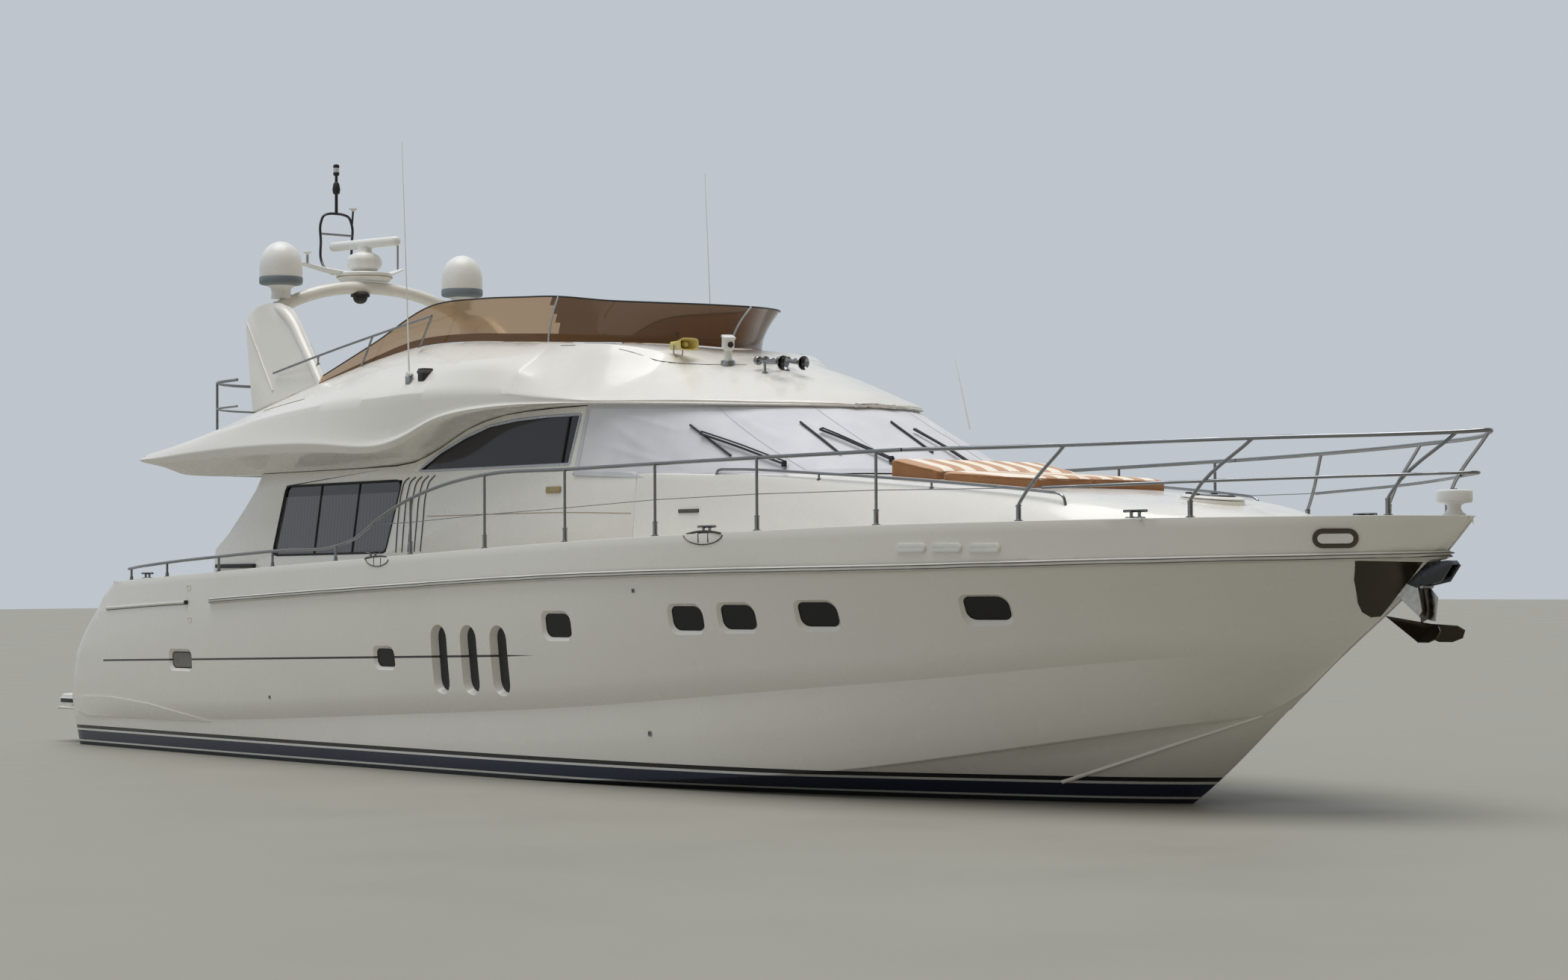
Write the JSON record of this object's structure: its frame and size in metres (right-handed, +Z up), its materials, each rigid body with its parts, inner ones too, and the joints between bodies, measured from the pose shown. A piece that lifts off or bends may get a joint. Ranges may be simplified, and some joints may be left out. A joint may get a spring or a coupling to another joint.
{
  "type": "motor yacht",
  "caption": "Flybridge motor yacht afloat: full hull, swim platform, hollow saloon, cockpit, flybridge, radar arch, rails and running gear, with its doors, hatch, rudders and screws moving.",
  "frame": {"origin": "on the centreline at the swim platform's after edge, at the waterline", "axes": "+X towards the bow, +Y to port, +Z up"},
  "size_m": [21.7066, 5.4388, 8.896],
  "materials": {
    "gelcoat": "glossy off-white gelcoat, navy and black boot stripes low on the hull",
    "strake_rubber": "light grey strake with dark grooves and a steel strip",
    "tinted_glass": "dark grey tinted glass",
    "bronze_acrylic": "smoked bronze acrylic",
    "cover_cloth": "white woven cover with stitched seams",
    "cushion_cloth": "tan and cream woven cloth",
    "radome_plastic": "smooth white plastic",
    "stainless_steel": "polished stainless steel",
    "bronze": "cast and machined bronze, dull",
    "yellow_plastic": "pale yellow plastic",
    "wheel_rubber": "black grip"
  },
  "bodies": {
    "hull": {"hull": "gelcoat", "rubbing_strake": "strake_rubber", "swim_platform": "gelcoat", "deckhouse_side_starboard": "gelcoat", "deckhouse_side_port": "gelcoat", "saloon_window_starboard": "tinted_glass", "saloon_window_port": "tinted_glass", "helm_window_starboard": "tinted_glass", "helm_window_port": "tinted_glass", "after_bulkhead": "gelcoat", "saloon_fixed_leaf": "tinted_glass", "flybridge": "gelcoat", "flybridge_sole": "gelcoat", "flybridge_brow": "gelcoat", "coachroof": "gelcoat", "windscreen": "tinted_glass", "windscreen_cover": "cover_cloth", "flybridge_screen": "bronze_acrylic", "radar_arch": "gelcoat", "satellite_dome_starboard": "radome_plastic", "satellite_dome_port": "radome_plastic", "radar_pedestal": "gelcoat", "sunpad_back": "cushion_cloth", "sunpad": "cushion_cloth", "windlass": "radome_plastic", "searchlight": "radome_plastic", "loudhailer": "yellow_plastic", "shaft_bracket_starboard": "bronze", "shaft_bracket_port": "bronze", "helm_console": "gelcoat", "helm_seat": "cushion_cloth", "flybridge_settee": "cushion_cloth", "cockpit_bench": "cushion_cloth", "flybridge_stair": "gelcoat", "pulpit": "stainless_steel", "side_rail_starboard": "stainless_steel", "side_rail_port": "stainless_steel", "flybridge_aft_rail": "stainless_steel", "coachroof_rail_starboard": "stainless_steel", "coachroof_rail_port": "stainless_steel", "anchor_chute": "stainless_steel", "anchor": "stainless_steel", "air_horns": "stainless_steel", "light_mast": "stainless_steel"},
    "garage_door": {"garage_door": "gelcoat"},
    "gate_starboard": {"transom_gate_starboard": "gelcoat"},
    "gate_port": {"transom_gate_port": "gelcoat"},
    "saloon_door": {"saloon_door": "tinted_glass"},
    "scanner": {"radar_scanner": "radome_plastic"},
    "hatch": {"foredeck_hatch": "gelcoat"},
    "screw_starboard": {"propeller_starboard": "bronze"},
    "screw_port": {"propeller_port": "bronze"},
    "rudder_starboard": {"rudder_starboard": "bronze"},
    "rudder_port": {"rudder_port": "bronze"},
    "tab_starboard": {"trim_tab_starboard": "stainless_steel"},
    "tab_port": {"trim_tab_port": "stainless_steel"},
    "wheel": {"steering_wheel": "wheel_rubber"}
  },
  "joints": [
    {"name": "garage_door_hinge", "type": "hinge", "parent": "hull", "child": "garage_door", "pos_m": [1.5336, 0, 1.634], "axis": [0, 1, 0], "range_deg": [0, 80]},
    {"name": "gate_hinge_starboard", "type": "hinge", "parent": "hull", "child": "gate_starboard", "pos_m": [2.22, -1.844, 1.7], "axis": [0, 0, -1], "range_deg": [0, 90]},
    {"name": "gate_hinge_port", "type": "hinge", "parent": "hull", "child": "gate_port", "pos_m": [2.22, 1.844, 1.7], "axis": [0, 0, 1], "range_deg": [0, 90]},
    {"name": "saloon_door_slide", "type": "slide", "parent": "hull", "child": "saloon_door", "axis": [0, 1, 0], "range_m": [0, 1.05]},
    {"name": "scanner_turn", "type": "hinge", "parent": "hull", "child": "scanner", "pos_m": [4.29, 0, 6.4], "axis": [0, 0, 1], "continuous": true},
    {"name": "hatch_hinge", "type": "hinge", "parent": "hull", "child": "hatch", "pos_m": [18.3033, 0, 2.8355], "axis": [0, -1, 0], "range_deg": [0, 85]},
    {"name": "screw_turn_starboard", "type": "hinge", "parent": "hull", "child": "screw_starboard", "pos_m": [2.6, -1.05, -0.98], "axis": [0.9877, 0, 0.1564], "continuous": true},
    {"name": "screw_turn_port", "type": "hinge", "parent": "hull", "child": "screw_port", "pos_m": [2.6, 1.05, -0.98], "axis": [0.9877, 0, 0.1564], "continuous": true},
    {"name": "rudder_hinge_starboard", "type": "hinge", "parent": "hull", "child": "rudder_starboard", "pos_m": [1.96, -1.05, -0.9], "axis": [0, 0, 1], "range_deg": [-35, 35]},
    {"name": "rudder_hinge_port", "type": "hinge", "parent": "hull", "child": "rudder_port", "pos_m": [1.96, 1.05, -0.9], "axis": [0, 0, 1], "range_deg": [-35, 35]},
    {"name": "tab_hinge_starboard", "type": "hinge", "parent": "hull", "child": "tab_starboard", "pos_m": [1.046, -1.475, -0.251], "axis": [0, -1, 0], "range_deg": [0, 25]},
    {"name": "tab_hinge_port", "type": "hinge", "parent": "hull", "child": "tab_port", "pos_m": [1.046, 1.475, -0.251], "axis": [0, -1, 0], "range_deg": [0, 25]},
    {"name": "wheel_turn", "type": "hinge", "parent": "hull", "child": "wheel", "pos_m": [9.86, -0.69, 4.64], "axis": [-0.4794, 0, 0.8776], "range_deg": [-640, 640]}
  ],
  "couplings": [
    {"joint": "rudder_hinge_port", "follows": "rudder_hinge_starboard", "ratio": 1},
    {"joint": "wheel_turn", "follows": "rudder_hinge_starboard", "ratio": -18}
  ]
}
